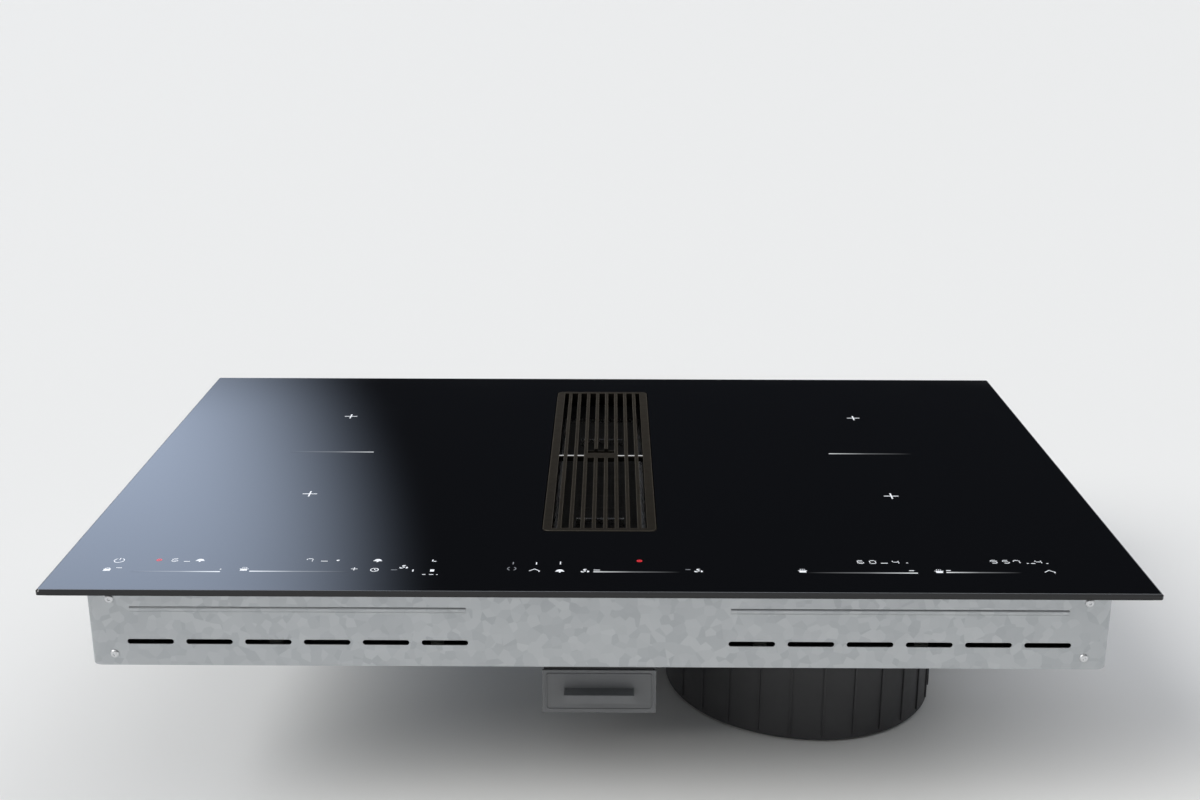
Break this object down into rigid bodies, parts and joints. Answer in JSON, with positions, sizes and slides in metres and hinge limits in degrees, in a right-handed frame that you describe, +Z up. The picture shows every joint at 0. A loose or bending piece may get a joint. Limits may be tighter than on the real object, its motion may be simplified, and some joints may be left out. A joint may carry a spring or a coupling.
{
  "type": "downdraft induction cooktop",
  "caption": "Black glass induction cooktop with a central slotted extractor grille, filter, drip tray and radial blower below; installed flush on a worktop cut-out.",
  "frame": {"origin": "centre of the glass on the plane where its seal rests on the worktop", "axes": "+X to the user's right along the glass's long side, +Y to the back, +Z up out of the glass"},
  "size_m": [0.8, 0.52, 0.2124],
  "materials": {
    "black_glass": "polished glass-ceramic, opaque black",
    "foam": "closed-cell foam",
    "galvanised_sheet": "galvanised sheet",
    "bronze_cast": "satin dark bronze coat",
    "silicone": "soft silicone",
    "black_plastic": "moulded, fine grain",
    "grey_plastic": "moulded, fine grain",
    "white_plastic": "moulded",
    "stainless": "brushed",
    "stainless_mesh": "slotted sheet",
    "rubber": "matt",
    "zinc_screws": "zinc plated",
    "cast_aluminium": "plain",
    "copper_winding": "enamelled copper",
    "bearing_steel": "ground steel",
    "rotor_steel": "painted steel",
    "cable_sheath": "smooth sheath",
    "ferrite": "sintered",
    "mica": "pressed mica",
    "spring_steel": "blued strip",
    "circuit_board": "solder mask",
    "capacitor_can": "sleeve",
    "clear_plastic": "clear moulding",
    "display_plastic": "dark window",
    "ribbon_sheath": "grey ribbon"
  },
  "bodies": {
    "chassis": {"glass_plate": "black_glass", "glass_seal": "foam", "casing_pan": "galvanised_sheet", "intake_shaft": "black_plastic", "shaft_gasket": "foam", "duct_lid": "grey_plastic", "duct_tub": "black_plastic", "duct_spacers": "rubber", "duct_screws": "zinc_screws", "tray_rails": "white_plastic", "volute_tub": "black_plastic", "volute_lid": "grey_plastic", "blower_screws": "zinc_screws", "inlet_mouth": "grey_plastic", "motor_base": "cast_aluminium", "motor_stator": "copper_winding", "motor_bearings": "bearing_steel", "air_outlet": "black_plastic", "blower_lead": "cable_sheath", "lead_grommet": "rubber", "coil_windings": "copper_winding", "coil_formers": "white_plastic", "ferrite_bars": "ferrite", "mica_sheets": "mica", "temperature_sensors": "white_plastic", "coil_carriers": "cast_aluminium", "carrier_springs": "spring_steel", "coil_leads": "cable_sheath", "power_boards": "circuit_board", "board_posts": "white_plastic", "heat_sinks": "cast_aluminium", "power_transistors": "black_plastic", "capacitors": "capacitor_can", "chokes": "copper_winding", "cooler_frames": "black_plastic", "cooler_screws": "zinc_screws", "control_board": "circuit_board", "control_holder": "white_plastic", "light_guides": "clear_plastic", "display_modules": "display_plastic", "ribbon_cables": "ribbon_sheath", "terminal_box": "grey_plastic", "terminal_block": "white_plastic", "cable_gland": "black_plastic", "clamp_screws": "zinc_screws"},
    "grille": {"grille": "bronze_cast", "grille_pads": "silicone"},
    "grease_filter": {"filter_frame": "stainless", "filter_mesh": "stainless_mesh", "filter_handles": "stainless"},
    "drip_tray": {"drip_tray": "grey_plastic"},
    "fan_wheel": {"impeller": "white_plastic", "motor_rotor": "rotor_steel"},
    "cooler_right": {"cooler_rotor_right": "grey_plastic"},
    "cooler_left": {"cooler_rotor_left": "grey_plastic"},
    "terminal_cover": {"terminal_cover": "grey_plastic"},
    "clamp_front_left": {"clamp_front_left": "galvanised_sheet"},
    "clamp_front_right": {"clamp_front_right": "galvanised_sheet"},
    "clamp_back_left": {"clamp_back_left": "galvanised_sheet"},
    "clamp_back_right": {"clamp_back_right": "galvanised_sheet"}
  },
  "joints": [
    {"name": "grille_lift", "type": "slide", "parent": "chassis", "child": "grille", "axis": [0, 0, 1], "range_m": [0, 0.16]},
    {"name": "filter_lift", "type": "slide", "parent": "chassis", "child": "grease_filter", "axis": [0, 0, 1], "range_m": [0, 0.08]},
    {"name": "drip_tray_slide", "type": "slide", "parent": "chassis", "child": "drip_tray", "axis": [0, -1, 0], "range_m": [0, 0.26]},
    {"name": "fan_wheel_spin", "type": "hinge", "parent": "chassis", "child": "fan_wheel", "pos_m": [0.195, 0.015, -0.15], "axis": [0, 0, 1], "continuous": true},
    {"name": "cooler_right_spin", "type": "hinge", "parent": "chassis", "child": "cooler_right", "pos_m": [0.3, 0.18, -0.05], "axis": [0, 0, 1], "continuous": true},
    {"name": "cooler_left_spin", "type": "hinge", "parent": "chassis", "child": "cooler_left", "pos_m": [-0.3, 0.18, -0.05], "axis": [0, 0, 1], "continuous": true},
    {"name": "terminal_cover_hinge", "type": "hinge", "parent": "chassis", "child": "terminal_cover", "pos_m": [-0.165, 0.1404, -0.1], "axis": [1, 0, 0], "range_deg": [-100, 0]},
    {"name": "clamp_front_left_slide", "type": "slide", "parent": "chassis", "child": "clamp_front_left", "axis": [0, 0, 1], "range_m": [-0.01, 0]},
    {"name": "clamp_front_right_slide", "type": "slide", "parent": "chassis", "child": "clamp_front_right", "axis": [0, 0, 1], "range_m": [-0.01, 0]},
    {"name": "clamp_back_left_slide", "type": "slide", "parent": "chassis", "child": "clamp_back_left", "axis": [0, 0, 1], "range_m": [-0.01, 0]},
    {"name": "clamp_back_right_slide", "type": "slide", "parent": "chassis", "child": "clamp_back_right", "axis": [0, 0, 1], "range_m": [-0.01, 0]}
  ],
  "couplings": [
    {"joint": "filter_lift", "follows": "grille_lift", "ratio": 0.5}
  ]
}
